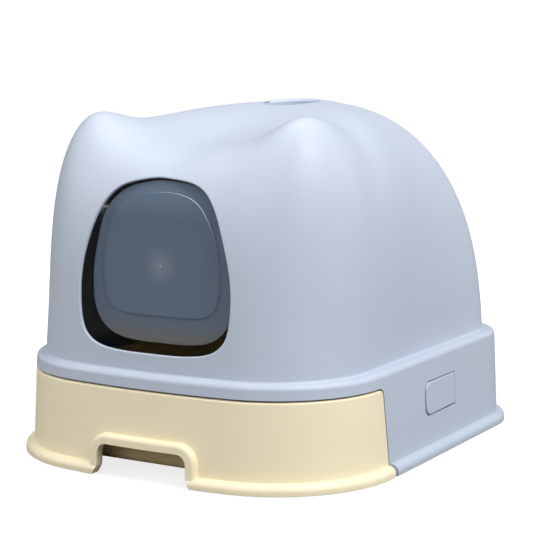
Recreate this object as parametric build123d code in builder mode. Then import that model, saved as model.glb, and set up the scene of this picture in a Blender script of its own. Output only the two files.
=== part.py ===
from build123d import *
import os
from math import atan2, cos, exp, hypot, radians, sin, sqrt, tan

import numpy as np

# Closed litter box for a cat. A moulded hood with two soft ears stands on a floor frame, a
# drawer with the litter pulls out of the front, and a see-through flap hangs in the entrance.
# Sizes are in mm, the front faces -Y, the floor is z = 0 and the origin is the foot's middle.

os.makedirs("parts", exist_ok=True)

# ---------------------------------------------------------------- plan of the foot
HALF_WIDTH = 200.0
DEPTH = 470.0
FRONT_BOW_RADIUS = 757.0  # the front is slightly bowed
FRONT_CORNER_RADIUS = 125.0
REAR_CORNER_RADIUS = 81.0

# ---------------------------------------------------------------- skirt and shoulder
WALL = 2.8
SKIRT_FOOT_INSET = 8.0  # the wall stands this far inside the foot lip at the floor
SKIRT_DRAFT = 2.6  # degrees that the skirt leans in
LIP_HEIGHT = 11.0
LIP_ROUND = 7.0
LIP_EDGE_ROUND = 1.5
SHOULDER_Z = 100.2  # level top of the shoulder, where the dome starts
SHOULDER_ROUND = 5.2
SHOULDER_INSET = 25.8  # foot of the dome at the sides and the rear
SHOULDER_FRONT_INSET = 20.1
SHOULDER_COVE = 2.2

# ---------------------------------------------------------------- form of the dome
CROWN_RISE = 248.2  # height of the dome over the shoulder before ears and saddle
AXIS_FROM_REAR = 176.7  # bearings are counted round this upright axis, from the front
# Fullness of the upright profile by bearing: 2 is an ellipse, more is squarer.
FULLNESS = ((0, 3.72), (16, 4.34), (32, 5.28), (50, 4.2), (70, 3.29), (100, 2.77), (140, 2.75), (180, 4.7))
# Share by which the profile leans in on its way up, by bearing.
LEAN = ((0, -0.009), (40, 0.088), (95, 0.018), (180, 0.188))
RIDGE_SHARE = 0.103  # the front corners swell a little towards the ears
RIDGE_BEARING = 58.3
RIDGE_SPREAD = 22.7
EAR_RISE = 24.0
EAR_FROM_SIDE = 74.5
EAR_SET_BACK = 98.5
EAR_WIDTH = 38.0
EAR_LENGTH = 47.5
EAR_TURN = -3.9  # degrees that each ear is turned
SADDLE_DROP = 28.9  # hollow between and behind the ears
SADDLE_SET_BACK = 135.3
SADDLE_WIDTH = 142.5
SADDLE_LENGTH = 100.0
BACK_TILT = -0.0177  # slope of the crown from front to back
BACK_TILT_SET_BACK = 275.9  # where that slope changes nothing
RINGS = (0, 10, 19, 27, 33, 38, 42, 46, 50, 54, 59, 64, 69, 74, 79, 84)
RING_POINTS = 72

# ---------------------------------------------------------------- entrance and flap
ENTRANCE_FOOT_RISE = 18.8  # lowest point of the entrance over the shoulder
# Half outline of the entrance seen from the front, over its lowest point, from the top down.
ENTRANCE = ((0, 162), (30, 159), (46, 153.5), (57, 144), (65, 132), (73, 113), (79.5, 92), (83.6, 71),
            (84.6, 51), (83, 31), (78, 16), (68, 7), (48, 1.5), (24, 0), (0, 0))
ENTRANCE_ROUND = 1.2
# Half outline of the flap over the same point, from the top down.
FLAP = ((0, 159.8), (28, 157), (43, 151.8), (53.5, 143.5), (62, 132.5), (68.3, 117), (74, 96),
        (77.7, 75), (78.5, 55), (76.5, 38), (69, 23), (56, 13), (38, 8.3), (18, 7), (0, 7))
# Half outline of its raised middle, over the same point.
FLAP_PANEL = ((0, 149.5), (24, 147), (40, 140), (51, 128), (58.5, 112), (63.5, 91), (64.5, 71),
              (62, 50), (54, 38), (40, 33.6), (20, 33), (0, 33))
FLAP_SET_BACK = 41.9  # front face of the flap's rim behind the foremost foot
FLAP_THICKNESS = 2.4
FLAP_PANEL_STEP = 1.5
FLAP_BEND_RISE = 119.0  # over this height the flap leans back with the forehead
FLAP_BEND_RADIUS = 76.0
FLAP_BEND_TURN = 38.0
GATE_RISE = 80.5
GATE_RADIUS = 1.3
GATE_HEIGHT = 0.5
PIN_BEHIND_FLAP = 6.0
PIN_RISE = 132.5
PIN_RADIUS = 1.6
PIN_CLEARANCE = 0.08
PIN_START_X = 50.0
PIN_HEAD_RADIUS = 2.6
PIN_HEAD = 1.2
KNUCKLE_START_X = 48.0
KNUCKLE_RADIUS = 4.0
KNUCKLE_END_X = 59.0
BRACKET_X = 69.0  # near face of the bracket's bearing wall
BRACKET_WALL = 4.0
BRACKET_WIDTH = 23.0
BRACKET_SEAT_BEHIND_PIN = 4.5
BRACKET_PLATE = 3.0
BRACKET_HEIGHT = 20.0
BRACKET_WALL_HEIGHT = 12.0
BRACKET_NOSE = 4.5  # how far its bearing wall stands in front of the pin
BRACKET_CORNER = 2.0
SCREW_FROM_END = 7.0
SCREW_SPACING = 11.0
SCREW_RADIUS = 1.4
SCREW_HEAD_RADIUS = 2.6
SCREW_HEAD_HEIGHT = 1.8
SCREW_LENGTH = 9.0
SCREW_CLEARANCE = 0.2
SCREW_FIT = 0.03
BOSS_RADIUS = 3.6

# ---------------------------------------------------------------- crown port
PORT_FROM_AXIS = 4.5
PORT_DROP = 3.6  # under the dome's nominal crown
PORT_TILT = 5.0  # degrees, rising to the back
PORT_RADIUS = 28.8
PORT_BEVEL = 2.0
PORT_RING_RADIUS = 34.0
PORT_RING_SLOPE = 12.0  # degrees, where the ring runs out into the dome
PORT_RING_DEPTH = 4.0
PORT_COLLAR_DEPTH = 14.0
PORT_COLLAR_WALL = 4.5
HOLDER_CLEARANCE = 0.4
HOLDER_TOP = 11.0  # below the rim of the port
HOLDER_WALL = 2.0
HOLDER_DEPTH = 35.0
HOLDER_FLANGE = 2.4
GRILLE_TOP = 13.0
GRILLE_THICKNESS = 2.4
GRILLE_CLEARANCE = 0.35
FILTER_THICKNESS = 12.0
SLOT_WIDTH = 4.0
SLOT_PITCH = 8.0
FLOOR_SLOTS = 5
GRILLE_RINGS = (8.0, 15.0, 22.0)
GRILLE_SPOKES = 3
GRILLE_SLOT_TURN = 104.0
FILTER_ROUND = 1.0
SEAT_GAP = 0.3

# ---------------------------------------------------------------- drawer
DRAWER_TOP = 84.6
DRAWER_GAP = 1.9
DRAWER_LIFT = 0.8
HOOD_SEAM_DROP = 0.2
DRAWER_END_TOP_SET_BACK = 132.0
DRAWER_END_FOOT_SET_BACK = 141.0
DRAWER_END_ROUND = 6.0
DRAWER_TOP_ROUND = 2.2
DRAWER_LIP_SHORT = 3.0  # the lip stops short of the end of the apron
HOOD_LIP_GAP = 3.0
NOTCH_HALF_WIDTH = 50.0
NOTCH_FOOT_HALF_WIDTH = 57.0
NOTCH_TOP = 31.5
NOTCH_ROUND = 10.0
BEAD_WIDTH = 9.6
BEAD_PROUD = 6.8
BEAD_ROUND = 4.4
BEAD_DEPTH = 30.0
NOTCH_FLARE_Z = 9.0
TRAY_FROM_SIDE = 40.0
TRAY_SET_BACK = 35.0
TRAY_FROM_REAR = 43.0
TRAY_CORNER = 72.0
TRAY_FLOOR_Z = 6.0
TRAY_DRAFT_IN = 6.0
TRAY_WALL = 2.5
TRAY_RIM_OUT = 7.0
TRAY_RIM_DROP = 5.0
TRAY_RIM_LIP = 2.0
HOOK_X = 90.0
HOOK_WIDTH = 22.0
HOOK_WALL = 2.0
HOOK_GAP = 0.4
HOOK_TOE = 3.0
HOOK_TOE_Z = 76.4
TRAY_FOOT_ROUND = 9.0

# ---------------------------------------------------------------- floor frame
FRAME_INSET = 12.4
FRAME_SET_BACK = 101.0
FRAME_FLOOR_Z = 1.5
FRAME_FLOOR = 2.2
FRAME_WALL = 3.0
FRAME_WALL_TOP = 24.0
RUNNER_FROM_TRAY_SIDE = 55.0
RUNNER_WIDTH = 14.0
RUNNER_INSET = 6.0
RUNNER_ROUND = 1.0
GUIDE_GAP = 4.0  # between the guide rib and the foot of the tray
GUIDE_WIDTH = 3.0
GUIDE_TOP = 15.0
STOP_HALF_WIDTH = 70.0
STOP_TOP = 26.0
BUFFER_X = 50.0
BUFFER_Z = 17.0
BUFFER_RADIUS = 6.0
BUFFER_GAP = 0.3
BUFFER_ROUND = 0.8
PAD_FROM_SIDE = 50.0
PAD_FROM_FRAME_FRONT = 23.0
PAD_FROM_REAR = 54.0
PAD_RADIUS = 9.0
PAD_ROUND = 0.5

# ---------------------------------------------------------------- release
TONGUE_ROOT_FROM_REAR = 174.0
TONGUE_LENGTH = 71.0
TONGUE_LOW_Z = 41.6
TONGUE_HEIGHT = 32.0
TONGUE_ROUND = 10.0
TONGUE_SLIT = 1.3
TONGUE_EDGE_ROUND = 0.9
TONGUE_TILT = 1.4  # degrees that the tongue stands out at its free end
CLIP_FROM_SIDE = 24.0  # middle of the spring blade
CLIP_BLADE = 3.0
CLIP_FROM_TONGUE_END = 3.0
CLIP_LENGTH = 40.0
CLIP_PIVOT_Z = 8.2
CLIP_PIVOT_RADIUS = 3.0
CLIP_SOCKET_GAP = 0.35
CLIP_SOCKET_WALL = 2.0
CLIP_TOP_Z = 68.0
BARB_REACH = 8.6  # from the middle of the blade
BARB_LOW_Z = 41.2
BARB_TOP_Z = 47.0
BARB_TIP_HEIGHT = 2.0
CLIP_PAD_REACH = 9.6
CLIP_PAD_LOW_Z = 50.0
CLIP_PAD_LENGTH = 16.0
LEDGE_REACH = 6.3
LEDGE_LOW_Z = 34.0
LEDGE_TOP_Z = 40.6
LEDGE_DEPTH = 6.0

# The hand notch takes the foremost bit of the bowed foot lip away, so the origin is the middle
# of what is left.
LIP_FULL_Z = LIP_HEIGHT - LIP_ROUND
NOTCH_START_Z = -2.0
NOTCH_FLARE = (NOTCH_FOOT_HALF_WIDTH - NOTCH_HALF_WIDTH) / (NOTCH_FLARE_Z - NOTCH_START_Z)
NOTCH_AT_LIP = NOTCH_FOOT_HALF_WIDTH - NOTCH_FLARE * (LIP_FULL_Z - NOTCH_START_Z)
NOTCH_SAG = FRONT_BOW_RADIUS - sqrt(FRONT_BOW_RADIUS ** 2 - NOTCH_AT_LIP ** 2)
FRONT_Y = -(DEPTH + NOTCH_SAG) / 2
REAR_Y = (DEPTH - NOTCH_SAG) / 2
# Places that follow the foot, the shoulder and each other.
AXIS_Y = REAR_Y - AXIS_FROM_REAR
EAR_X = HALF_WIDTH - EAR_FROM_SIDE
EAR_Y = FRONT_Y + EAR_SET_BACK
SADDLE_Y = FRONT_Y + SADDLE_SET_BACK
BACK_TILT_Y = FRONT_Y + BACK_TILT_SET_BACK
ENTRANCE_FOOT_Z = SHOULDER_Z + ENTRANCE_FOOT_RISE
FLAP_Y = FRONT_Y + FLAP_SET_BACK
FLAP_BEND_Z = ENTRANCE_FOOT_Z + FLAP_BEND_RISE
GATE_Z = ENTRANCE_FOOT_Z + GATE_RISE
PIN_Y = FLAP_Y + PIN_BEHIND_FLAP
PIN_Z = ENTRANCE_FOOT_Z + PIN_RISE
BRACKET_SEAT_Y = PIN_Y + BRACKET_SEAT_BEHIND_PIN
BRACKET_FRONT_Y = PIN_Y - BRACKET_NOSE
BRACKET_END_X = BRACKET_X + BRACKET_WIDTH
SCREW_X = BRACKET_END_X - SCREW_FROM_END
PORT_Y = AXIS_Y - PORT_FROM_AXIS
PORT_Z = SHOULDER_Z + CROWN_RISE - PORT_DROP
DRAWER_END_TOP_Y = FRONT_Y + DRAWER_END_TOP_SET_BACK
DRAWER_END_FOOT_Y = FRONT_Y + DRAWER_END_FOOT_SET_BACK
DRAWER_LIP_END_Y = DRAWER_END_FOOT_Y - DRAWER_LIP_SHORT
HOOD_LIP_START_Y = DRAWER_END_FOOT_Y + HOOD_LIP_GAP
TRAY_HALF_WIDTH = HALF_WIDTH - TRAY_FROM_SIDE
TRAY_FRONT_Y = FRONT_Y + TRAY_SET_BACK
TRAY_REAR_Y = REAR_Y - TRAY_FROM_REAR
TRAY_TOP = DRAWER_TOP - WALL
FRAME_TOP = FRAME_FLOOR_Z + FRAME_FLOOR
FRAME_FRONT_Y = FRONT_Y + FRAME_SET_BACK
RUNNER_X = TRAY_HALF_WIDTH - RUNNER_FROM_TRAY_SIDE
GUIDE_X = TRAY_HALF_WIDTH - TRAY_DRAFT_IN + GUIDE_GAP + GUIDE_WIDTH / 2
STOP_Y = TRAY_REAR_Y
PAD_X = HALF_WIDTH - PAD_FROM_SIDE
PAD_FRONT_Y = FRAME_FRONT_Y + PAD_FROM_FRAME_FRONT
PAD_REAR_Y = REAR_Y - PAD_FROM_REAR
TONGUE_ROOT_Y = REAR_Y - TONGUE_ROOT_FROM_REAR
TONGUE_FREE_Y = TONGUE_ROOT_Y - TONGUE_LENGTH
TONGUE_MID_Y = TONGUE_ROOT_Y - TONGUE_LENGTH / 2
TONGUE_MID_Z = TONGUE_LOW_Z + TONGUE_HEIGHT / 2
TONGUE_HINGE_X = HALF_WIDTH - SKIRT_FOOT_INSET - TONGUE_MID_Z * tan(radians(SKIRT_DRAFT)) - WALL / 2
CLIP_X = HALF_WIDTH - CLIP_FROM_SIDE
CLIP_FRONT_Y = TONGUE_FREE_Y + CLIP_FROM_TONGUE_END
CLIP_REAR_Y = CLIP_FRONT_Y + CLIP_LENGTH
CLIP_PAD_REAR_Y = CLIP_FRONT_Y + CLIP_PAD_LENGTH
CLIP_PAD_X = CLIP_X + CLIP_PAD_REACH
BARB_TIP_X = CLIP_X + BARB_REACH
LEDGE_X = CLIP_X + LEDGE_REACH
PORT_PLANE = Plane(origin=(0, PORT_Y, PORT_Z), x_dir=(1, 0, 0),
                   z_dir=(0, -sin(radians(PORT_TILT)), cos(radians(PORT_TILT))))


def skirt_inset(height):
    """Inset of the skirt's outer face at a height."""
    return SKIRT_FOOT_INSET + height * tan(radians(SKIRT_DRAFT))


def plan_corner(inset, front_inset):
    """Centre and radius of a front corner arc, and the point where it meets the bow."""
    bow = FRONT_BOW_RADIUS - inset
    radius = FRONT_CORNER_RADIUS - inset
    bow_y = FRONT_Y + front_inset + bow
    x = HALF_WIDTH - inset - radius
    y = bow_y - sqrt((bow - radius) ** 2 - x ** 2)
    reach = bow / (bow - radius)
    return x, y, radius, x * reach, bow_y + (y - bow_y) * reach


def plan_outline(inset, front_inset=None):
    """Face bounded by the plan outline, drawn inside the foot's outline by an inset."""
    front_inset = inset if front_inset is None else front_inset
    x, y, radius, bow_x, bow_end_y = plan_corner(inset, front_inset)
    half = HALF_WIDTH - inset
    rear = REAR_CORNER_RADIUS - inset
    back = REAR_Y - inset
    turn = atan2(bow_end_y - y, bow_x - x) / 2
    with BuildLine() as outline:
        ThreePointArc((-bow_x, bow_end_y), (0, FRONT_Y + front_inset), (bow_x, bow_end_y))
        Line((-half + rear, back), (half - rear, back))
        for side in (1, -1):
            middle = (side * (x + radius * cos(turn)), y + radius * sin(turn))
            ThreePointArc((side * bow_x, bow_end_y), middle, (side * half, y))
            Line((side * half, y), (side * half, back - rear))
            middle = (side * (half - rear + rear * cos(radians(45))), back - rear + rear * sin(radians(45)))
            ThreePointArc((side * half, back - rear), middle, (side * (half - rear), back))
    make_face(outline.edges())


def half_outline(points):
    """Face bounded by a smooth closed curve through a half outline and its mirror image."""
    right = [(x, ENTRANCE_FOOT_Z + rise) for x, rise in points]
    left = [(-x, z) for x, z in reversed(right[1:-1])]
    with BuildLine() as outline:
        Spline(*(right + left), periodic=True)
    make_face(outline.edges())


def foot_lip(first_y, last_y):
    """Flared lip round the foot, between two places along the depth."""
    with BuildPart() as lip:
        with BuildSketch():
            plan_outline(0)
        extrude(amount=LIP_HEIGHT)
        fillet(lip.faces().sort_by(Axis.Z)[-1].edges(), LIP_ROUND)
        fillet(lip.faces().sort_by(Axis.Z)[0].edges(), LIP_EDGE_ROUND)
        with BuildSketch():
            with Locations((0, (first_y + last_y) / 2)):
                Rectangle(2 * HALF_WIDTH + 10, last_y - first_y)
        extrude(amount=LIP_HEIGHT, mode=Mode.INTERSECT)
    return lip.part


def skirt_block(low, top, extra):
    """Drafted block of the skirt between two heights, drawn in by an extra inset."""
    with BuildPart() as block:
        with BuildSketch(Plane.XY.offset(low)):
            plan_outline(skirt_inset(low) + extra)
        with BuildSketch(Plane.XY.offset(top)):
            plan_outline(skirt_inset(top) + extra)
        loft(ruled=True)
    return block.part


def bay_block(gap):
    """Block of room in front of the parting line between hood and drawer front."""
    slope = (DRAWER_END_FOOT_Y - DRAWER_END_TOP_Y) / DRAWER_TOP
    low = -5.0
    top = DRAWER_TOP + gap
    with BuildPart() as block:
        with BuildSketch(Plane.YZ):
            with BuildLine():
                Polyline((FRONT_Y - 20, low), (DRAWER_END_FOOT_Y - slope * low + gap, low),
                         (DRAWER_END_FOOT_Y - slope * top + gap, top), (FRONT_Y - 20, top), close=True)
            face = make_face()
            fillet(face.vertices().group_by(Axis.X)[-2], DRAWER_END_ROUND + gap)
        extrude(amount=HALF_WIDTH + 10, both=True)
    return block.part


def read_table(table, bearing):
    """Smooth value between the rows of a short table, with level ends."""
    places = [row[0] for row in table]
    values = [row[1] for row in table]
    slopes = [0.0]
    for i in range(1, len(table) - 1):
        slopes.append((values[i + 1] - values[i - 1]) / (places[i + 1] - places[i - 1]))
    slopes.append(0.0)
    i = min(max(int(np.searchsorted(places, bearing)) - 1, 0), len(table) - 2)
    span = places[i + 1] - places[i]
    t = (bearing - places[i]) / span
    start = (2 * t ** 3 - 3 * t ** 2 + 1) * values[i] + (t ** 3 - 2 * t ** 2 + t) * span * slopes[i]
    return start + (3 * t ** 2 - 2 * t ** 3) * values[i + 1] + (t ** 3 - t ** 2) * span * slopes[i + 1]


def shoulder_reach():
    """Bearings and distances from the axis of the dome's foot outline, on the right half."""
    x, y, radius, bow_x, bow_end_y = plan_corner(SHOULDER_INSET, SHOULDER_FRONT_INSET)
    half = HALF_WIDTH - SHOULDER_INSET
    rear = REAR_CORNER_RADIUS - SHOULDER_INSET
    back = REAR_Y - SHOULDER_INSET
    bow = FRONT_BOW_RADIUS - SHOULDER_INSET
    points = []
    for bow_part in np.linspace(0, bow_x, 60):
        drop = bow - sqrt(bow ** 2 - bow_part ** 2)
        points.append((bow_part, FRONT_Y + SHOULDER_FRONT_INSET + drop))
    first_turn = atan2(bow_end_y - y, bow_x - x)
    points += [(x + radius * cos(a), y + radius * sin(a)) for a in np.linspace(first_turn, 0, 60)]
    points += [(half, along) for along in np.linspace(y, back - rear, 60)]
    corner = np.linspace(0, radians(90), 60)
    points += [(half - rear + rear * cos(a), back - rear + rear * sin(a)) for a in corner]
    points += [(along, back) for along in np.linspace(half - rear, 0, 60)]
    bearings = [atan2(px, AXIS_Y - py) for px, py in points]
    return bearings, [hypot(px, AXIS_Y - py) for px, py in points]


REACH_BEARINGS, REACHES = shoulder_reach()


def form_point(bearing, rise, shell):
    """Point of the dome's face. The rise runs from 0 at the shoulder to 90 at the crown."""
    turn = abs(bearing)
    fullness = read_table(FULLNESS, turn)
    lean = read_table(LEAN, turn)
    across = cos(radians(rise))
    up = sin(radians(rise))
    size = (across ** fullness + up ** fullness) ** (1 / fullness)
    across, up = across / size, up / size
    reach = float(np.interp(radians(turn), REACH_BEARINGS, REACHES)) - shell
    ridge = RIDGE_SHARE * exp(-((turn - RIDGE_BEARING) / RIDGE_SPREAD) ** 2)
    reach *= across * (1 - lean * up) * (1 + ridge * up)
    x = reach * sin(radians(bearing))
    y = AXIS_Y - reach * cos(radians(bearing))
    ears = 0.0
    for side in (1, -1):
        out = side * x - EAR_X
        along = y - EAR_Y
        c, s = cos(radians(EAR_TURN)), sin(radians(EAR_TURN))
        ears += exp(-((out * c + along * s) / EAR_WIDTH) ** 2 - ((along * c - out * s) / EAR_LENGTH) ** 2)
    saddle = exp(-(x / SADDLE_WIDTH) ** 2 - ((y - SADDLE_Y) / SADDLE_LENGTH) ** 2)
    soft = up ** 2 * (3 - 2 * up)
    change = EAR_RISE * ears - SADDLE_DROP * saddle + BACK_TILT * (y - BACK_TILT_Y)
    return Vector(x, y, SHOULDER_Z - shell + CROWN_RISE * up + soft * change)


def dome_solid(shell):
    """Solid of the dome over the shoulder, drawn in by a shell thickness."""
    step = 360 / RING_POINTS
    rings = []
    for rise in RINGS:
        points = [form_point(-180 + i * step, rise, shell) for i in range(RING_POINTS)]
        rings.append(Wire([Edge.make_spline(points, periodic=True)]))
    crown = Vertex(*form_point(0, 90, shell))
    return Solid.make_loft(rings + [crown])


def side_plane(side, y, z, depth):
    """Plane on the skirt's side face, x to the rear, y up the face, z outwards."""
    draft = radians(SKIRT_DRAFT)
    x = HALF_WIDTH - skirt_inset(z) - depth
    if side > 0:
        return Plane(origin=(x, y, z), x_dir=(0, 1, 0), z_dir=(cos(draft), 0, sin(draft)))
    return Plane(origin=(-x, y, z), x_dir=(0, 1, 0), z_dir=(-cos(draft), 0, sin(draft)))


def side_name(side):
    """Left and right as seen by someone who faces the entrance."""
    return "right" if side > 0 else "left"


DOME = dome_solid(0)


def screw_places(side):
    """Places of one bracket's screws, seen from the front."""
    return [(side * SCREW_X, PIN_Z + place * SCREW_SPACING / 2) for place in (-1, 1)]


def bracket_bosses(side):
    """Pair of screw bosses behind the front wall, trimmed at the face of the dome."""
    places = screw_places(side)
    with BuildPart() as bosses:
        with BuildSketch(Plane.XZ.offset(-BRACKET_SEAT_Y)):
            with Locations(*places):
                Circle(BOSS_RADIUS)
        extrude(amount=30)
        add(DOME, mode=Mode.INTERSECT)
        with BuildSketch(Plane.XZ.offset(-BRACKET_SEAT_Y)):
            with Locations(*places):
                Circle(SCREW_RADIUS)
        extrude(amount=SCREW_LENGTH - BRACKET_PLATE, mode=Mode.SUBTRACT)
    return bosses.part


def release_tongue(side):
    """Tongue of the hood's side wall, standing out a little at its free end."""
    with BuildPart() as tongue:
        with BuildSketch(side_plane(side, TONGUE_MID_Y, TONGUE_MID_Z, WALL)) as face:
            Rectangle(TONGUE_LENGTH, TONGUE_HEIGHT)
            fillet(face.vertices().group_by(Axis.X)[0], TONGUE_ROUND - TONGUE_SLIT)
        extrude(amount=WALL)
        outer = tongue.faces().sort_by(Axis.X)[-1 if side > 0 else 0]
        fillet(outer.edges(), TONGUE_EDGE_ROUND)
    hinge = Axis((side * TONGUE_HINGE_X, TONGUE_ROOT_Y, 0), (0, 0, 1))
    return tongue.part.rotate(hinge, side * TONGUE_TILT)


def hood_clip(side):
    """Spring clip of the floor frame, with its barb and the pad that the tongue presses."""
    blade = side * CLIP_X
    outer = side * (CLIP_X + CLIP_BLADE / 2)
    with BuildPart() as clip:
        with BuildSketch(Plane.XZ.offset(-CLIP_REAR_Y)):
            with Locations((blade, CLIP_PIVOT_Z)):
                Circle(CLIP_PIVOT_RADIUS)
            with Locations((blade, (CLIP_PIVOT_Z + CLIP_TOP_Z) / 2)):
                Rectangle(CLIP_BLADE, CLIP_TOP_Z - CLIP_PIVOT_Z)
            with BuildLine():
                Polyline((blade, BARB_LOW_Z), (side * BARB_TIP_X, BARB_LOW_Z),
                         (side * BARB_TIP_X, BARB_LOW_Z + BARB_TIP_HEIGHT), (outer, BARB_TOP_Z),
                         (blade, BARB_TOP_Z), close=True)
            make_face()
        extrude(amount=CLIP_REAR_Y - CLIP_FRONT_Y)
        with BuildSketch(Plane.XZ.offset(-CLIP_PAD_REAR_Y)):
            with Locations((side * (CLIP_X + CLIP_PAD_X) / 2, (CLIP_PAD_LOW_Z + CLIP_TOP_Z) / 2)):
                Rectangle(CLIP_PAD_X - CLIP_X, CLIP_TOP_Z - CLIP_PAD_LOW_Z)
        extrude(amount=CLIP_PAD_REAR_Y - CLIP_FRONT_Y)
    return clip.part


def tray_outline(grow, mode=Mode.ADD):
    """Rounded oblong of the tray's plan, grown or shrunk from its top edge."""
    with Locations((0, (TRAY_FRONT_Y + TRAY_REAR_Y) / 2)):
        RectangleRounded(2 * (TRAY_HALF_WIDTH + grow), TRAY_REAR_Y - TRAY_FRONT_Y + 2 * grow,
                         TRAY_CORNER + grow, mode=mode)


def notch_outline(grow, mode=Mode.ADD):
    """Outline of the hand notch, grown outwards for its bead."""
    half = NOTCH_HALF_WIDTH + grow
    foot = NOTCH_FOOT_HALF_WIDTH + grow
    top = NOTCH_TOP + grow
    with BuildLine() as outline:
        Polyline((-foot, NOTCH_START_Z), (-half, NOTCH_FLARE_Z), (-half, top), (half, top),
                 (half, NOTCH_FLARE_Z), (foot, NOTCH_START_Z), close=True)
    with BuildSketch(mode=Mode.PRIVATE) as notch:
        make_face(outline.edges())
        fillet(notch.vertices().group_by(Axis.Y)[-1], NOTCH_ROUND + grow)
        fillet(notch.vertices().sort_by(Axis.Y)[2:4], NOTCH_ROUND)
    add(notch.sketch, mode=mode)


def notch_bead():
    """Raised bead round the hand notch, following the bow of the apron."""
    with BuildPart() as bead:
        add(skirt_block(0, NOTCH_TOP + 2 * BEAD_WIDTH, -BEAD_PROUD))
        with BuildSketch(Plane.XZ.offset(-FRONT_Y - BEAD_DEPTH)):
            notch_outline(BEAD_WIDTH)
        extrude(amount=2 * BEAD_DEPTH, mode=Mode.INTERSECT)
        face = bead.faces().sort_by(lambda item: item.center().Y)[0]
        rim = [edge for edge in face.edges() if edge.center().Z > 1]
        fillet(rim, BEAD_ROUND)
    return bead.part


def flap_sheet(front, back):
    """Sheet of the flap between two depths, upright below and leaning back at the top."""
    turn = FLAP_BEND_TURN
    centre = FLAP_Y + FLAP_BEND_RADIUS
    with BuildPart() as sheet:
        with BuildSketch(Plane.YZ.offset(-HALF_WIDTH / 2)):
            with BuildLine() as outline:
                ends = []
                for depth in (front, back):
                    radius = FLAP_BEND_RADIUS - depth
                    foot = (FLAP_Y + depth, SHOULDER_Z)
                    knee = (FLAP_Y + depth, FLAP_BEND_Z)
                    middle = (centre - radius * cos(radians(turn / 2)),
                              FLAP_BEND_Z + radius * sin(radians(turn / 2)))
                    end = (centre - radius * cos(radians(turn)), FLAP_BEND_Z + radius * sin(radians(turn)))
                    Line(foot, knee)
                    ThreePointArc(knee, middle, end)
                    ends += [foot, end]
                Line(ends[0], ends[2])
                Line(ends[1], ends[3])
            make_face()
        extrude(amount=HALF_WIDTH)
    return sheet.part


def flap_panel(front, back, shrink):
    """Middle field of the flap between two depths, drawn in by a shrink."""
    middle = (FLAP_PANEL[0][1] + FLAP_PANEL[-1][1]) / 2
    half_height = (FLAP_PANEL[0][1] - FLAP_PANEL[-1][1]) / 2
    share = 1 - shrink / half_height
    with BuildPart() as panel:
        add(flap_sheet(front, back))
        with BuildSketch(Plane.XZ):
            half_outline([(x * share, middle + (z - middle) * share) for x, z in FLAP_PANEL])
        extrude(amount=DEPTH, mode=Mode.INTERSECT)
    return panel.part


def bracket(side):
    """Clear bearing bracket for one flap pin, screwed on behind the front wall."""
    low, high = PIN_Z - BRACKET_HEIGHT / 2, PIN_Z + BRACKET_HEIGHT / 2
    with BuildPart() as body:
        with BuildSketch(Plane.XZ.offset(-BRACKET_SEAT_Y - BRACKET_PLATE)):
            with Locations((side * (BRACKET_X + BRACKET_WIDTH / 2), PIN_Z)):
                RectangleRounded(BRACKET_WIDTH, BRACKET_HEIGHT, BRACKET_CORNER)
        extrude(amount=BRACKET_PLATE)
        with BuildSketch(Plane.XZ.offset(-BRACKET_SEAT_Y - BRACKET_PLATE)):
            with Locations((side * (BRACKET_X + BRACKET_WALL / 2), PIN_Z)):
                Rectangle(BRACKET_WALL, BRACKET_WALL_HEIGHT)
        extrude(amount=BRACKET_SEAT_Y + BRACKET_PLATE - BRACKET_FRONT_Y)
        front = body.edges().filter_by(Axis.X).group_by(Axis.Y)[0]
        fillet(front, BRACKET_CORNER)
        with BuildSketch(Plane.YZ):
            with Locations((PIN_Y, PIN_Z)):
                Circle(PIN_RADIUS + PIN_CLEARANCE)
        extrude(amount=side * (BRACKET_X + BRACKET_WALL + 1), mode=Mode.SUBTRACT)
        with BuildSketch(Plane.XZ.offset(-BRACKET_SEAT_Y)):
            with Locations(*screw_places(side)):
                Circle(SCREW_RADIUS + SCREW_CLEARANCE)
        extrude(amount=-BRACKET_PLATE, mode=Mode.SUBTRACT)
    return body.part


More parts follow.
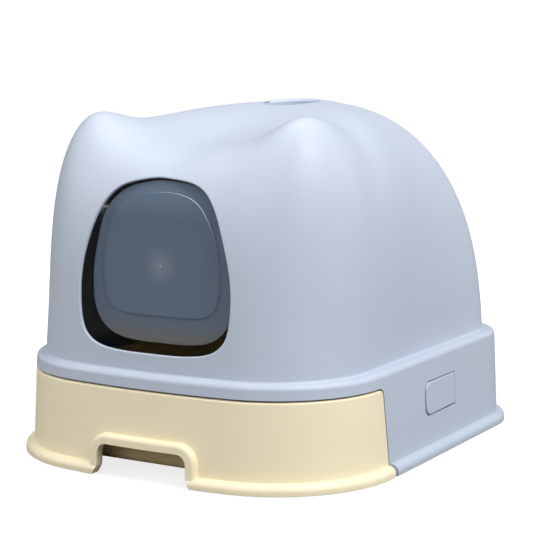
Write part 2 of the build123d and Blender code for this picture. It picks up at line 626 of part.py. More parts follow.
# ================================================================ hood
with BuildPart() as hood_moulding:
    # Skirt with its rounded shoulder, and the dome on top of it.
    add(skirt_block(0, SHOULDER_Z, 0))
    fillet(hood_moulding.faces().sort_by(Axis.Z)[-1].edges(), SHOULDER_ROUND)
    add(foot_lip(HOOD_LIP_START_Y, REAR_Y))
    add(DOME)
    cove = hood_moulding.edges().filter_by_position(Axis.Z, SHOULDER_Z - 0.01, SHOULDER_Z + 0.01)
    fillet(cove.filter_by(GeomType.BSPLINE), SHOULDER_COVE)
    # Low ring round the crown port.
    with Locations(PORT_PLANE.offset(-PORT_RING_DEPTH / 2)):
        run = PORT_RING_DEPTH / tan(radians(PORT_RING_SLOPE))
        Cone(PORT_RING_RADIUS + run, PORT_RING_RADIUS, PORT_RING_DEPTH)
    # Hollow inside.
    add(skirt_block(-1, SHOULDER_Z - WALL, WALL), mode=Mode.SUBTRACT)
    add(dome_solid(WALL), mode=Mode.SUBTRACT)
    # Collar under the crown port, and the port itself.
    with BuildSketch(PORT_PLANE.offset(-PORT_COLLAR_DEPTH)):
        Circle(PORT_RADIUS + PORT_COLLAR_WALL)
    extrude(amount=PORT_COLLAR_DEPTH - WALL)
    with BuildSketch(PORT_PLANE.offset(PORT_COLLAR_DEPTH)):
        Circle(PORT_RADIUS)
    extrude(amount=-2 * PORT_COLLAR_DEPTH, mode=Mode.SUBTRACT)
    with Locations(PORT_PLANE.offset(-PORT_BEVEL / 2)):
        Cone(PORT_RADIUS, PORT_RADIUS + PORT_BEVEL, PORT_BEVEL, mode=Mode.SUBTRACT)
    # Entrance, with its outer edge rounded.
    with BuildSketch(Plane.XZ.offset(-AXIS_Y)):
        half_outline(ENTRANCE)
    extrude(amount=REAR_Y + AXIS_Y, mode=Mode.SUBTRACT)
    height = ENTRANCE[0][1]
    mouth = hood_moulding.edges().filter_by(lambda edge: abs(edge.bounding_box().size.Z - height) < 3 * WALL)
    fillet(mouth.sort_by(lambda edge: edge.bounding_box().min.Y)[0], ENTRANCE_ROUND)
    # Bay for the drawer front.
    add(bay_block(DRAWER_GAP), mode=Mode.SUBTRACT)
    for side in (1, -1):
        # U slit round the tongue.
        pocket_y = TONGUE_MID_Y + (SEAT_GAP - TONGUE_SLIT) / 2
        with BuildSketch(side_plane(side, pocket_y, TONGUE_MID_Z, 0)) as pocket:
            Rectangle(TONGUE_LENGTH + TONGUE_SLIT + SEAT_GAP, TONGUE_HEIGHT + 2 * TONGUE_SLIT)
            fillet(pocket.vertices().group_by(Axis.X)[0], TONGUE_ROUND)
        extrude(amount=2 * WALL, both=True, mode=Mode.SUBTRACT)
        # Ledge that the spring clip of the floor frame holds down.
        with BuildSketch(Plane.XY.offset(LEDGE_LOW_Z)):
            with Locations((side * (LEDGE_X + LEDGE_DEPTH / 2), (CLIP_FRONT_Y + CLIP_REAR_Y) / 2)):
                Rectangle(LEDGE_DEPTH, CLIP_REAR_Y - CLIP_FRONT_Y)
        extrude(amount=LEDGE_TOP_Z - LEDGE_LOW_Z)
        add(bracket_bosses(side))

# The moulding is held as two pieces that meet on a level face just under the top of the bay.
HOOD_SEAM_Z = DRAWER_TOP + DRAWER_GAP - HOOD_SEAM_DROP
with BuildPart() as hood:
    add(hood_moulding.part)
    split(bisect_by=Plane.XY.offset(HOOD_SEAM_Z), keep=Keep.TOP)

with BuildPart() as hood_skirt:
    add(hood_moulding.part)
    split(bisect_by=Plane.XY.offset(HOOD_SEAM_Z), keep=Keep.BOTTOM)

# ================================================================ drawer
with BuildPart() as litter_tray:
    with BuildSketch(Plane.XY.offset(TRAY_FLOOR_Z)):
        tray_outline(-TRAY_DRAFT_IN)
    with BuildSketch(Plane.XY.offset(TRAY_TOP)):
        tray_outline(0)
    loft(ruled=True)
    fillet(litter_tray.faces().sort_by(Axis.Z)[0].edges(), TRAY_FOOT_ROUND)
    offset(amount=-TRAY_WALL, openings=litter_tray.faces().sort_by(Axis.Z)[-1])
    # Rim, turned down at its outer edge.
    with BuildSketch(Plane.XY.offset(TRAY_TOP)):
        tray_outline(TRAY_RIM_OUT)
        tray_outline(-TRAY_WALL, Mode.SUBTRACT)
    extrude(amount=-TRAY_WALL)
    with BuildSketch(Plane.XY.offset(TRAY_TOP)):
        tray_outline(TRAY_RIM_OUT)
        tray_outline(TRAY_RIM_OUT - TRAY_RIM_LIP, Mode.SUBTRACT)
    extrude(amount=-TRAY_RIM_DROP)

with BuildPart() as drawer_front:
    # Apron that wraps both front corners.
    add(skirt_block(0, DRAWER_TOP, 0))
    fillet(drawer_front.faces().sort_by(Axis.Z)[-1].edges(), DRAWER_TOP_ROUND)
    add(foot_lip(FRONT_Y - 1, DRAWER_LIP_END_Y))
    # Bead and hand notch.
    add(notch_bead())
    add(bay_block(0), mode=Mode.INTERSECT)
    # Hollow behind the apron, open over the tray, with a ledge that lies on the tray's rim.
    add(skirt_block(-1, DRAWER_TOP - WALL, WALL), mode=Mode.SUBTRACT)
    with BuildSketch(Plane.XY.offset(DRAWER_TOP + 1)):
        tray_outline(-TRAY_WALL)
        with Locations((0, 0)):
            Rectangle(2 * (TRAY_HALF_WIDTH - TRAY_WALL), -2 * (TRAY_FRONT_Y + TRAY_CORNER))
    extrude(amount=-2 * WALL, mode=Mode.SUBTRACT)
    with BuildSketch(Plane.XZ.offset(-FRONT_Y - BEAD_DEPTH)):
        notch_outline(0)
    extrude(amount=2 * BEAD_DEPTH, mode=Mode.SUBTRACT)
    # The apron runs a little over the floor.
    with BuildSketch():
        Rectangle(3 * HALF_WIDTH, 2 * DEPTH)
    extrude(amount=DRAWER_LIFT, mode=Mode.SUBTRACT)
    # Hooks that snap under the tray's rim.
    with BuildSketch(Plane.YZ):
        rim_y = TRAY_FRONT_Y - TRAY_RIM_OUT
        with BuildLine():
            Polyline((rim_y - HOOK_GAP, TRAY_TOP + 1), (rim_y - HOOK_GAP, HOOK_TOE_Z),
                     (rim_y + HOOK_TOE, HOOK_TOE_Z), (rim_y + HOOK_TOE, HOOK_TOE_Z - HOOK_WALL),
                     (rim_y - HOOK_GAP - HOOK_WALL, HOOK_TOE_Z - HOOK_WALL),
                     (rim_y - HOOK_GAP - HOOK_WALL, TRAY_TOP + 1), close=True)
        make_face()
    hooks = extrude(amount=HOOK_WIDTH / 2, both=True, mode=Mode.PRIVATE)
    with Locations((-HOOK_X, 0, 0), (HOOK_X, 0, 0)):
        add(hooks)

# ================================================================ flap
with BuildPart() as flap_door:
    add(flap_sheet(0, FLAP_THICKNESS))
    with BuildSketch(Plane.XZ):
        half_outline(FLAP)
    extrude(amount=DEPTH, mode=Mode.INTERSECT)
    # Raised middle, hollow at the back, with a small mark of the moulding gate.
    add(flap_panel(-FLAP_PANEL_STEP, FLAP_THICKNESS / 2, 0))
    add(flap_panel(FLAP_THICKNESS - FLAP_PANEL_STEP, FLAP_THICKNESS + 1, FLAP_THICKNESS), mode=Mode.SUBTRACT)
    with BuildSketch(Plane.XZ.offset(-FLAP_Y)):
        with Locations((0, GATE_Z)):
            Circle(GATE_RADIUS)
    extrude(amount=FLAP_PANEL_STEP + GATE_HEIGHT)
    for side in (1, -1):
        # Knuckle for the pin.
        with BuildSketch(Plane.YZ.offset(side * KNUCKLE_START_X)):
            with Locations((PIN_Y, PIN_Z)):
                Circle(KNUCKLE_RADIUS)
        extrude(amount=side * (KNUCKLE_END_X - KNUCKLE_START_X))
        with BuildSketch(Plane.YZ.offset(side * PIN_START_X)):
            with Locations((PIN_Y, PIN_Z)):
                Circle(PIN_RADIUS + PIN_CLEARANCE)
        extrude(amount=side * (BRACKET_X - PIN_START_X), mode=Mode.SUBTRACT)


def flap_pin(side):
    """Stub pin that carries one side of the flap."""
    with BuildPart() as pin:
        with BuildSketch(Plane.YZ.offset(side * (PIN_START_X + SEAT_GAP))):
            with Locations((PIN_Y, PIN_Z)):
                Circle(PIN_RADIUS)
        extrude(amount=side * (BRACKET_X + BRACKET_WALL - PIN_START_X - SEAT_GAP))
        with BuildSketch(Plane.YZ.offset(side * (BRACKET_X + BRACKET_WALL))):
            with Locations((PIN_Y, PIN_Z)):
                Circle(PIN_HEAD_RADIUS)
        extrude(amount=side * PIN_HEAD)
    return pin.part


with BuildPart() as bracket_screws:
    places = screw_places(-1) + screw_places(1)
    with BuildSketch(Plane.XZ.offset(-BRACKET_SEAT_Y - BRACKET_PLATE)):
        with Locations(*places):
            Circle(SCREW_RADIUS - SCREW_FIT)
    extrude(amount=SCREW_LENGTH)
    with BuildSketch(Plane.XZ.offset(-BRACKET_SEAT_Y - BRACKET_PLATE)):
        with Locations(*places):
            Circle(SCREW_HEAD_RADIUS)
    extrude(amount=-SCREW_HEAD_HEIGHT)
    fillet(bracket_screws.faces().group_by(Axis.Y)[-1].edges(), SCREW_HEAD_HEIGHT / 2)

# ================================================================ crown port
with BuildPart() as filter_holder:
    # Cup that hangs in the port from below, with a slotted floor and a flange under the collar.
    outer = PORT_RADIUS - HOLDER_CLEARANCE
    inner = outer - HOLDER_WALL
    with BuildSketch(PORT_PLANE.offset(-HOLDER_TOP)):
        Circle(outer)
    extrude(amount=HOLDER_TOP - HOLDER_DEPTH)
    with BuildSketch(PORT_PLANE.offset(-PORT_COLLAR_DEPTH)):
        Circle(PORT_RADIUS + PORT_COLLAR_WALL)
    extrude(amount=-HOLDER_FLANGE)
    with BuildSketch(PORT_PLANE.offset(-HOLDER_TOP)):
        Circle(inner)
    extrude(amount=HOLDER_TOP - GRILLE_TOP - GRILLE_THICKNESS, mode=Mode.SUBTRACT)
    with BuildSketch(PORT_PLANE.offset(-HOLDER_TOP)):
        Circle(inner - HOLDER_WALL)
    extrude(amount=HOLDER_TOP - HOLDER_DEPTH + HOLDER_WALL, mode=Mode.SUBTRACT)
    with BuildSketch(PORT_PLANE.offset(-HOLDER_DEPTH - 1)) as slots:
        with GridLocations(SLOT_PITCH, 1, FLOOR_SLOTS, 1):
            SlotOverall(2 * inner - 4 * SLOT_PITCH, SLOT_WIDTH, rotation=90)
    extrude(amount=HOLDER_WALL + 2, mode=Mode.SUBTRACT)

with BuildPart() as odour_filter:
    with BuildSketch(PORT_PLANE.offset(HOLDER_WALL - HOLDER_DEPTH)):
        Circle(inner - HOLDER_WALL - SEAT_GAP)
    extrude(amount=FILTER_THICKNESS)
    fillet(odour_filter.edges().filter_by(GeomType.CIRCLE), FILTER_ROUND)

with BuildPart() as vent_grille:
    with BuildSketch(PORT_PLANE.offset(-GRILLE_TOP - GRILLE_THICKNESS)):
        Circle(inner - GRILLE_CLEARANCE)
    extrude(amount=GRILLE_THICKNESS)
    fillet(vent_grille.faces().sort_by(Axis.Z)[-1].edges(), 0.6)
    with BuildSketch(PORT_PLANE.offset(-GRILLE_TOP - GRILLE_THICKNESS - 1)):
        with PolarLocations(0, GRILLE_SPOKES):
            start = (360 / GRILLE_SPOKES - GRILLE_SLOT_TURN) / 2
            for ring in GRILLE_RINGS:
                SlotArc(CenterArc((0, 0), ring, start, GRILLE_SLOT_TURN), SLOT_WIDTH)
    extrude(amount=GRILLE_THICKNESS + 2, mode=Mode.SUBTRACT)

# ================================================================ floor frame
with BuildPart() as base_frame:
    with BuildSketch(Plane.XY.offset(FRAME_FLOOR_Z)):
        plan_outline(FRAME_INSET)
    extrude(amount=FRAME_WALL_TOP - FRAME_FLOOR_Z)
    with BuildSketch(Plane.XY.offset(FRAME_TOP)):
        plan_outline(FRAME_INSET + FRAME_WALL)
    extrude(amount=FRAME_WALL_TOP, mode=Mode.SUBTRACT)
    with BuildSketch():
        with Locations((0, FRAME_FRONT_Y - DEPTH / 2)):
            Rectangle(3 * HALF_WIDTH, DEPTH)
    extrude(amount=2 * FRAME_WALL_TOP, mode=Mode.SUBTRACT)
    # Rib that stops the tray.
    with BuildSketch(Plane.XY.offset(FRAME_TOP)):
        with Locations((0, STOP_Y + FRAME_WALL / 2)):
            Rectangle(2 * STOP_HALF_WIDTH, FRAME_WALL)
    extrude(amount=STOP_TOP - FRAME_TOP)
    for side in (1, -1):
        # Guide rib beside the tray, and the socket of the spring clip.
        with BuildSketch(Plane.XY.offset(FRAME_TOP)):
            with Locations((side * GUIDE_X, (FRAME_FRONT_Y + STOP_Y) / 2)):
                Rectangle(GUIDE_WIDTH, STOP_Y - FRAME_FRONT_Y - 2 * RUNNER_INSET)
        extrude(amount=GUIDE_TOP - FRAME_TOP)
        reach = CLIP_PIVOT_RADIUS + CLIP_SOCKET_GAP + CLIP_SOCKET_WALL / 2
        with BuildSketch(Plane.XY.offset(FRAME_TOP)):
            for place in (-reach, reach):
                with Locations((side * CLIP_X + place, (CLIP_FRONT_Y + CLIP_REAR_Y) / 2)):
                    Rectangle(CLIP_SOCKET_WALL, CLIP_REAR_Y - CLIP_FRONT_Y)
        extrude(amount=CLIP_PIVOT_Z + 1 - FRAME_TOP)


def runner(side):
    """Slide strip on the floor frame that carries one side of the tray."""
    with BuildPart() as strip:
        with BuildSketch(Plane.XY.offset(FRAME_TOP)):
            with Locations((side * RUNNER_X, (FRAME_FRONT_Y + STOP_Y) / 2)):
                Rectangle(RUNNER_WIDTH, STOP_Y - FRAME_FRONT_Y - 2 * RUNNER_INSET)
        extrude(amount=TRAY_FLOOR_Z - FRAME_TOP)
        fillet(strip.faces().sort_by(Axis.Z)[-1].edges(), RUNNER_ROUND)
    return strip.part


with BuildPart() as stop_buffers:
    drop = TRAY_TOP - BUFFER_Z - BUFFER_RADIUS
    front = TRAY_REAR_Y - TRAY_DRAFT_IN * drop / (TRAY_TOP - TRAY_FLOOR_Z) + BUFFER_GAP
    with BuildSketch(Plane.XZ.offset(-STOP_Y)):
        with Locations((-BUFFER_X, BUFFER_Z), (BUFFER_X, BUFFER_Z)):
            Circle(BUFFER_RADIUS)
    extrude(amount=STOP_Y - front)
    fillet(stop_buffers.faces().group_by(Axis.Y)[0].edges(), BUFFER_ROUND)

with BuildPart() as foot_pads:
    with BuildSketch():
        for y in (PAD_FRONT_Y, PAD_REAR_Y):
            with Locations((-PAD_X, y), (PAD_X, y)):
                Circle(PAD_RADIUS)
    extrude(amount=FRAME_FLOOR_Z)
    fillet(foot_pads.faces().group_by(Axis.Z)[0].edges(), PAD_ROUND)

# ================================================================ pieces
pieces = {
    "base_frame": base_frame.part,
    "foot_pads": foot_pads.part,
    "stop_buffers": stop_buffers.part,
    "hood": hood.part,
    "hood_skirt": hood_skirt.part,
    "litter_tray": litter_tray.part,
    "drawer_front": drawer_front.part,
    "flap_door": flap_door.part,
    "bracket_screws": bracket_screws.part,
    "filter_holder": filter_holder.part,
    "odour_filter": odour_filter.part,
    "vent_grille": vent_grille.part,
}
for side in (1, -1):
    pieces["flap_bracket_" + side_name(side)] = bracket(side)
    pieces["flap_pin_" + side_name(side)] = flap_pin(side)
    pieces["release_tongue_" + side_name(side)] = release_tongue(side)
    pieces["hood_clip_" + side_name(side)] = hood_clip(side)
    pieces["runner_" + side_name(side)] = runner(side)

for name, piece in pieces.items():
    piece.label = name
    export_step(piece, f"parts/{name}.step")
    box = piece.bounding_box()
    print(f"{name:24s} {len(piece.solids())} solids, {piece.volume / 1000:8.1f} cm3,",
          f"x {box.min.X:.1f}..{box.max.X:.1f}, y {box.min.Y:.1f}..{box.max.Y:.1f},",
          f"z {box.min.Z:.1f}..{box.max.Z:.1f}")
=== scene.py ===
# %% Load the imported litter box
import math

import bpy
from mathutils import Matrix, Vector

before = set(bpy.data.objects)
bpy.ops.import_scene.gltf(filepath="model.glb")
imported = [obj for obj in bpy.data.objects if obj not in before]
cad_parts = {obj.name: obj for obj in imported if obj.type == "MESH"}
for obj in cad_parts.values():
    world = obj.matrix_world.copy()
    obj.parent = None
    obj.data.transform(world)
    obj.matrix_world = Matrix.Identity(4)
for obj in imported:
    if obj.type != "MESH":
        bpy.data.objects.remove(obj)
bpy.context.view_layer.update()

MM = 0.001

# %% [markdown]
# Every colour is written as a screen colour (sRGB hex), as it would be picked from a swatch.
# Shaders work in linear light, so one function turns one into the other. One more adds a
# node with its settings and links, which keeps each material short enough to read.
# %% Colour and node helpers


def linear(hex_colour):
    """Linear RGBA of an sRGB hex colour such as #C8D0DB."""
    parts = [int(hex_colour[i:i + 2], 16) / 255 for i in (1, 3, 5)]
    return [p / 12.92 if p <= 0.04045 else ((p + 0.055) / 1.055) ** 2.4 for p in parts] + [1.0]


def node(tree, kind, values=None, **settings):
    """Node of a kind, with its settings. A value that is a socket is linked, and any other is set."""
    made = tree.nodes.new(kind)
    for name, value in settings.items():
        setattr(made, name, value)
    for socket, value in (values or {}).items():
        if isinstance(value, bpy.types.NodeSocket):
            tree.links.new(value, made.inputs[socket])
        else:
            made.inputs[socket].default_value = value
    return made


def start_material(name):
    """New material and its emptied node tree."""
    made = bpy.data.materials.new(name)
    made.use_nodes = True
    made.node_tree.nodes.clear()
    return made, made.node_tree


def paint(piece_names, material):
    """Gives the named pieces one material."""
    for name in piece_names:
        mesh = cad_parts[name].data
        mesh.materials.clear()
        mesh.materials.append(material)
    print(material.name, "on", ", ".join(piece_names))


# %% [markdown]
# The hood, the drawer and the frame are injection-moulded polypropylene. The mould is
# spark-eroded, which leaves a fine grain of about a third of a millimetre, so highlights are
# broad and soft. The colour and the gloss drift by a hair where the melt cooled at another
# pace. An image of the grain would repeat and blur up close, so it is a noise in the piece's
# own coordinates instead, and the drift is a mix of two close colours by a much wider noise.
# %% Moulded polypropylene
GRAIN_SIZE = 0.35 * MM
GRAIN_STRENGTH = 0.5
DRIFT_SIZE = 90 * MM
GLOSS_DRIFT = 0.04
POLYPROPYLENE_IOR = 1.49


def moulded_plastic(name, colour, drift_colour, roughness, grain_height):
    """Spark-eroded moulded plastic with a slow drift of colour and of gloss."""
    material, tree = start_material(name)
    place = node(tree, "ShaderNodeTexCoord").outputs["Object"]
    drift = node(tree, "ShaderNodeTexNoise", {"Vector": place, "Scale": 1 / DRIFT_SIZE, "Detail": 3.0})
    tint = node(tree, "ShaderNodeMix", {
        "Factor": drift.outputs["Fac"], "A": linear(colour), "B": linear(drift_colour)}, data_type="RGBA")
    gloss = node(tree, "ShaderNodeMapRange", {
        "Value": drift.outputs["Fac"], "To Min": roughness - GLOSS_DRIFT, "To Max": roughness + GLOSS_DRIFT})
    grain = node(tree, "ShaderNodeTexNoise", {"Vector": place, "Scale": 1 / GRAIN_SIZE, "Detail": 2.0})
    relief = node(tree, "ShaderNodeBump", {
        "Height": grain.outputs["Fac"], "Distance": grain_height, "Strength": GRAIN_STRENGTH})
    shader = node(tree, "ShaderNodeBsdfPrincipled", {
        "Base Color": tint.outputs["Result"], "Roughness": gloss.outputs["Result"],
        "Normal": relief.outputs["Normal"], "IOR": POLYPROPYLENE_IOR})
    node(tree, "ShaderNodeOutputMaterial", {"Surface": shader.outputs["BSDF"]})
    return material


hood_plastic = moulded_plastic("moulded_hood_polypropylene", "#BCC5D4", "#B7C1D1", 0.46, 0.03 * MM)
drawer_plastic = moulded_plastic("moulded_drawer_polypropylene", "#F3E8C9", "#F0E4C2", 0.4, 0.02 * MM)
# The tray's yellow is its cream plastic plus painted warm bounce light.
tray_plastic = moulded_plastic("moulded_tray_polypropylene", "#EDD6A0", "#EAD199", 0.4, 0.02 * MM)
frame_plastic = moulded_plastic("moulded_frame_polypropylene", "#9FA8B6", "#99A2B1", 0.5, 0.03 * MM)
slide_plastic = moulded_plastic("moulded_slide_acetal", "#EDEDE8", "#E6E6E0", 0.3, 0.01 * MM)

# %% [markdown]
# The hood and its tongues are one moulding, so they share one finish. The frame, the clips and
# the parts of the vent are a shade darker. The drawer's front is cream. The tray behind it is
# given a warmer yellow, partly its own cream plastic and partly painted warm bounce light, as it
# shows in the hand notch. Runners and pins are slippery white acetal.
# %% Which piece has which plastic
sides = ("left", "right")
paint(["hood", "hood_skirt"] + ["release_tongue_" + side for side in sides], hood_plastic)
paint(["drawer_front"], drawer_plastic)
paint(["litter_tray"], tray_plastic)
paint(["base_frame", "filter_holder", "vent_grille"] + ["hood_clip_" + side for side in sides], frame_plastic)
paint(["runner_" + side for side in sides] + ["flap_pin_" + side for side in sides], slide_plastic)

# %% [markdown]
# The flap is smoke-tinted polycarbonate: see-through, but dark enough that the inside of
# the hood only shows as a soft shade. Three marks of painted light go into its colour. Its hem,
# about a finger wide, is painted with the warm colour of the tray behind it, which stands in for
# the tray seen through the sheet. The step of the raised panel is paler than the faces: a painted
# highlight that stands in for light running along inside the clear sheet and out at its edges.
# And at the gate, where the melt came in, a painted glow with a bright dot fades out softly.
# Each mark is one small function that takes the colour so far and gives back the next one.
# %% Painted light in the flap's colour
HEM_FOOT, HEM_TOP = 0.128, 0.152
HEM_STRENGTH = 0.75
EDGE_TURN, FACE_TURN = 0.3, 0.6  # how far a surface faces the front or the back, from 0 to 1
EDGE_HIGHLIGHT_STRENGTH = 0.9
EDGE_CLEARNESS = 0.1
GATE_PLACE = (0.0, -0.1958, 0.1995)
GATE_GLOW_AND_DOT = ((22 * MM, 0.3), (2.2 * MM, 0.9))  # radius and strength of the cloud and of the dot


def painted_tray_hem(tree, place, tint):
    """Painted see-through of the warm tray at the flap's foot, fading out upwards."""
    height = node(tree, "ShaderNodeSeparateXYZ", {"Vector": place}).outputs["Z"]
    # The hem's warm colour is painted, standing in for the tray seen through the flap.
    hem = node(tree, "ShaderNodeMapRange", {
        "Value": height, "From Min": HEM_FOOT, "From Max": HEM_TOP, "To Min": HEM_STRENGTH,
        "To Max": 0.0}, interpolation_type="SMOOTHSTEP")
    return node(tree, "ShaderNodeMix", {
        "Factor": hem.outputs["Result"], "A": tint, "B": linear("#A39E93")},
        data_type="RGBA").outputs["Result"]


def painted_edge_highlight(tree, tint, shader, clearness):
    """Painted highlight on edges that turn away from front and back, where the flap is also hardly
    see-through.
    """
    normal = node(tree, "ShaderNodeTexCoord").outputs["Normal"]
    facing = node(tree, "ShaderNodeSeparateXYZ", {"Vector": normal}).outputs["Y"]
    front = node(tree, "ShaderNodeMath", {0: facing}, operation="ABSOLUTE").outputs["Value"]
    turned = {"Value": front, "From Min": EDGE_TURN, "From Max": FACE_TURN}
    # The pale edge colour is a painted highlight.
    edge_highlight = node(tree, "ShaderNodeMapRange", {**turned, "To Min": EDGE_HIGHLIGHT_STRENGTH, "To Max": 0.0})
    through = node(tree, "ShaderNodeMapRange", {**turned, "To Min": EDGE_CLEARNESS, "To Max": clearness})
    tree.links.new(through.outputs["Result"], shader.inputs["Transmission Weight"])
    return node(tree, "ShaderNodeMix", {
        "Factor": edge_highlight.outputs["Result"], "A": tint, "B": linear("#EEF2F6")},
        data_type="RGBA").outputs["Result"]


def painted_gate_glow(tree, place, tint):
    """Painted glow and bright dot round the gate, where the melt came in."""
    reach = node(tree, "ShaderNodeVectorMath", {0: place, 1: GATE_PLACE}, operation="DISTANCE")
    for radius, strength in GATE_GLOW_AND_DOT:
        # Each ring is a painted glow, paler towards the gate.
        painted_glow = node(tree, "ShaderNodeMapRange", {
            "Value": reach.outputs["Value"], "From Max": radius, "To Min": strength,
            "To Max": 0.0}, interpolation_type="SMOOTHSTEP")
        tint = node(tree, "ShaderNodeMix", {
            "Factor": painted_glow.outputs["Result"], "A": tint, "B": linear("#DCE4EC")},
            data_type="RGBA").outputs["Result"]
    return tint


# %% [markdown]
# Flap and brackets are the same plastic, the brackets without the smoke. The melt leaves faint
# flow marks in the gloss, as wide as a hand. A small bevel in the shader rounds the look of the
# sharp edges, so that they catch a highlight as moulded edges do.
# %% Tinted flap and clear brackets
POLYCARBONATE_IOR = 1.58
MOULDED_EDGE = 0.5 * MM
EDGE_SAMPLES = 6
FLOW_SIZE = 60 * MM
FLOW_GLOSS = 0.03


def clear_plastic(name, colours, clearness, roughness, with_flap_marks=False):
    """See-through plastic with flow marks in its gloss, and with the flap's marks where asked."""
    material, tree = start_material(name)
    place = node(tree, "ShaderNodeTexCoord").outputs["Object"]
    flow = node(tree, "ShaderNodeTexNoise", {"Vector": place, "Scale": 1 / FLOW_SIZE, "Detail": 2.0})
    gloss = node(tree, "ShaderNodeMapRange", {
        "Value": flow.outputs["Fac"], "To Min": roughness - FLOW_GLOSS, "To Max": roughness + FLOW_GLOSS})
    tint = node(tree, "ShaderNodeMix", {
        "Factor": flow.outputs["Fac"], "A": linear(colours[0]), "B": linear(colours[1])},
        data_type="RGBA").outputs["Result"]
    edge = node(tree, "ShaderNodeBevel", {"Radius": MOULDED_EDGE}, samples=EDGE_SAMPLES)
    shader = node(tree, "ShaderNodeBsdfPrincipled", {
        "Roughness": gloss.outputs["Result"], "IOR": POLYCARBONATE_IOR,
        "Normal": edge.outputs["Normal"], "Transmission Weight": clearness})
    if with_flap_marks:
        # Painted light: the tray seen through the hem, a highlight on the edges and a glow at the gate.
        tint = painted_tray_hem(tree, place, tint)
        tint = painted_edge_highlight(tree, tint, shader, clearness)
        tint = painted_gate_glow(tree, place, tint)
    tree.links.new(tint, shader.inputs["Base Color"])
    node(tree, "ShaderNodeOutputMaterial", {"Surface": shader.outputs["BSDF"]})
    return material


smoke_plastic = clear_plastic("smoked_polycarbonate", ("#8FA2BC", "#899DB7"), 0.6, 0.14, True)
clear_bracket = clear_plastic("clear_polycarbonate", ("#E4E8EE", "#DDE2EA"), 0.75, 0.15)
paint(["flap_door"], smoke_plastic)
paint(["flap_bracket_" + side for side in sides], clear_bracket)

# %% [markdown]
# The small pieces that hardly show: zinc-plated screws, soft rubber pads and buffers, and the
# felt of the carbon filter under the vent. Plating is patchy, rubber has a fine matte skin and
# felt is made of fibres. One function does all three, because they differ only in the size and
# the height of their patches, and in whether they are metal.
# %% Screws, rubber and filter felt


def worn_surface(name, colours, roughness, scale, height, metallic=0.0):
    """Surface with a patchy colour and a matching relief, for felt, rubber and plated steel."""
    material, tree = start_material(name)
    place = node(tree, "ShaderNodeTexCoord").outputs["Object"]
    patches = node(tree, "ShaderNodeTexNoise", {"Vector": place, "Scale": 1 / scale, "Detail": 4.0})
    tint = node(tree, "ShaderNodeMix", {
        "Factor": patches.outputs["Fac"], "A": linear(colours[0]), "B": linear(colours[1])}, data_type="RGBA")
    relief = node(tree, "ShaderNodeBump", {"Height": patches.outputs["Fac"], "Distance": height})
    shader = node(tree, "ShaderNodeBsdfPrincipled", {
        "Base Color": tint.outputs["Result"], "Roughness": roughness, "Metallic": metallic,
        "Normal": relief.outputs["Normal"]})
    node(tree, "ShaderNodeOutputMaterial", {"Surface": shader.outputs["BSDF"]})
    return material


plated_steel = worn_surface("zinc_plated_steel", ("#C9C9C4", "#B4B5B3"), 0.35, 2 * MM, 0.01 * MM, 1.0)
soft_rubber = worn_surface("moulded_soft_rubber", ("#2B2B2D", "#363638"), 0.75, 1.5 * MM, 0.03 * MM)
carbon_felt = worn_surface("carbon_filter_felt", ("#1D1E20", "#2C2D30"), 0.95, 1.0 * MM, 0.4 * MM)
paint(["bracket_screws"], plated_steel)
paint(["foot_pads", "stop_buffers"], soft_rubber)
paint(["odour_filter"], carbon_felt)

# %% [markdown]
# A white studio: a wide floor of grey paper under a white sky. Light strong enough to turn the
# paper white would bleach the object too. So the paper glows, but only for rays that come
# straight from the camera: near the object a little less, which keeps its soft shadow, and up
# to full white further out, so that the floor's end can't be seen.
# %% Floor
FLOOR_SIZE = 12.0
FIBRE_SIZE = 125 * MM
NEAR_GLOW, FAR_GLOW = 0.8, 1.0
SHADOW_REACH = 0.3
WHITE_FROM = 0.7


def studio_paper():
    """Grey paper that the camera sees glowing, up to full white away from the object."""
    material, tree = start_material("studio_paper")
    place = node(tree, "ShaderNodeTexCoord").outputs["Object"]
    fibre = node(tree, "ShaderNodeTexNoise", {"Vector": place, "Scale": 1 / FIBRE_SIZE})
    tint = node(tree, "ShaderNodeMix", {
        "Factor": fibre.outputs["Fac"], "A": linear("#8A8A8A"), "B": linear("#878787")}, data_type="RGBA")
    paper = node(tree, "ShaderNodeBsdfDiffuse", {"Color": tint.outputs["Result"]})
    seen = node(tree, "ShaderNodeLightPath").outputs["Is Camera Ray"]
    away = node(tree, "ShaderNodeVectorMath", {0: place}, operation="LENGTH")
    fade = node(tree, "ShaderNodeMapRange", {
        "Value": away.outputs["Value"], "From Min": SHADOW_REACH, "From Max": WHITE_FROM,
        "To Min": NEAR_GLOW, "To Max": FAR_GLOW}, interpolation_type="SMOOTHSTEP")
    strength = node(tree, "ShaderNodeMath", {0: seen, 1: fade.outputs["Result"]}, operation="MULTIPLY")
    glow = node(tree, "ShaderNodeEmission", {"Strength": strength.outputs["Value"]})
    both = node(tree, "ShaderNodeAddShader", {0: paper.outputs["BSDF"], 1: glow.outputs["Emission"]})
    node(tree, "ShaderNodeOutputMaterial", {"Surface": both.outputs["Shader"]})
    return material


bpy.ops.mesh.primitive_plane_add(size=FLOOR_SIZE, location=(0, 0, 0))
floor = bpy.context.object
floor.name = "studio_floor"
floor.data.materials.append(studio_paper())
print("floor", FLOOR_SIZE, "m wide, full white from", WHITE_FROM, "m")

# %% [markdown]
# The photograph's light is broad: strongest from above and from the right, where the flank is
# brighter than the front, with weaker fill from the front and the left. Large square lamps
# give that without hard edges. Their powers were first worked out from renders with one lamp
# each, whose sum was compared with the brightness of the photograph, and then set by eye.
# %% Lamps
AIM_HEIGHT = 0.18


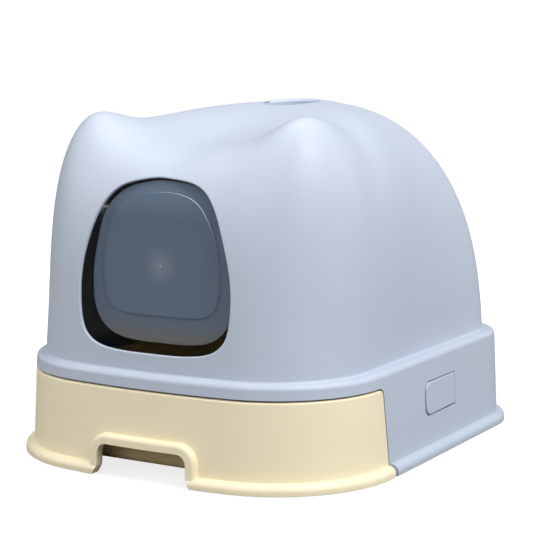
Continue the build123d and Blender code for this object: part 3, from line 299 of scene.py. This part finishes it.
def area_lamp(name, place, size, watts):
    """Square lamp that faces the middle of the object."""
    data = bpy.data.lights.new(name, "AREA")
    data.size = size
    data.energy = watts
    lamp = bpy.data.objects.new(name, data)
    bpy.context.scene.collection.objects.link(lamp)
    lamp.location = place
    print(name, "at", place, "with", watts, "W")
    lamp.rotation_euler = (Vector((0, 0, AIM_HEIGHT)) - Vector(place)).to_track_quat("-Z", "Y").to_euler()


area_lamp("top_lamp", (0.0, 0.1, 2.6), 2.4, 43)
area_lamp("right_lamp", (2.2, -0.6, 2.2), 1.6, 70)
area_lamp("rear_lamp", (2.2, 1.6, 1.4), 1.8, 18)
area_lamp("front_lamp", (0.0, -2.4, 1.5), 1.8, 24)
area_lamp("left_lamp", (-2.5, -1.2, 1.2), 1.8, 26)

# %% [markdown]
# The sky adds a weak even light, so that no shadow is black. The camera alone sees it as plain
# white, which is the background of a product picture.
# %% Sky
WORLD_LIGHT = 0.1
SEEN_WHITE = 1.0
world = bpy.data.worlds.new("studio")
bpy.context.scene.world = world
world.use_nodes = True
world.node_tree.nodes.clear()
path = node(world.node_tree, "ShaderNodeLightPath")
sky_strength = node(world.node_tree, "ShaderNodeMapRange", {
    "Value": path.outputs["Is Camera Ray"], "To Min": WORLD_LIGHT, "To Max": SEEN_WHITE})
sky = node(world.node_tree, "ShaderNodeBackground", {
    "Color": linear("#FFFFFF"), "Strength": sky_strength.outputs["Result"]})
node(world.node_tree, "ShaderNodeOutputWorld", {"Surface": sky.outputs["Background"]})
bpy.context.scene.view_settings.view_transform = "Standard"
print("sky lights at", WORLD_LIGHT, "and is seen at", SEEN_WHITE)

# %% [markdown]
# The camera stands to the front right, a little above the box. Its place and lens were worked
# out from the foot's outline and the middle plane of the hood in the photograph. The long lens
# keeps the sides nearly parallel, as in the photograph.
# %% Camera
CAMERA_PLACE = (0.85921, -1.46275, 0.40763)
CAMERA_AZIMUTH = 30.406
CAMERA_ELEVATION = 7.769
FOCAL_LENGTH_PIXELS = 1644.2
IMAGE_WIDTH = 533
SENSOR_WIDTH = 36  # mm
SEES_AS_FAR_AS = 50
camera_data = bpy.data.cameras.new("photo_camera")
camera_data.sensor_width = SENSOR_WIDTH
camera_data.lens = FOCAL_LENGTH_PIXELS / IMAGE_WIDTH * SENSOR_WIDTH
camera_data.clip_end = SEES_AS_FAR_AS
camera = bpy.data.objects.new("photo_camera", camera_data)
bpy.context.scene.collection.objects.link(camera)
camera.location = CAMERA_PLACE
turn, tilt = math.radians(CAMERA_AZIMUTH), math.radians(CAMERA_ELEVATION)
forward = Vector((-math.sin(turn) * math.cos(tilt), math.cos(turn) * math.cos(tilt), -math.sin(tilt)))
camera.rotation_euler = forward.to_track_quat("-Z", "Y").to_euler()
bpy.context.scene.camera = camera
print("lens", round(camera_data.lens, 1), "mm")
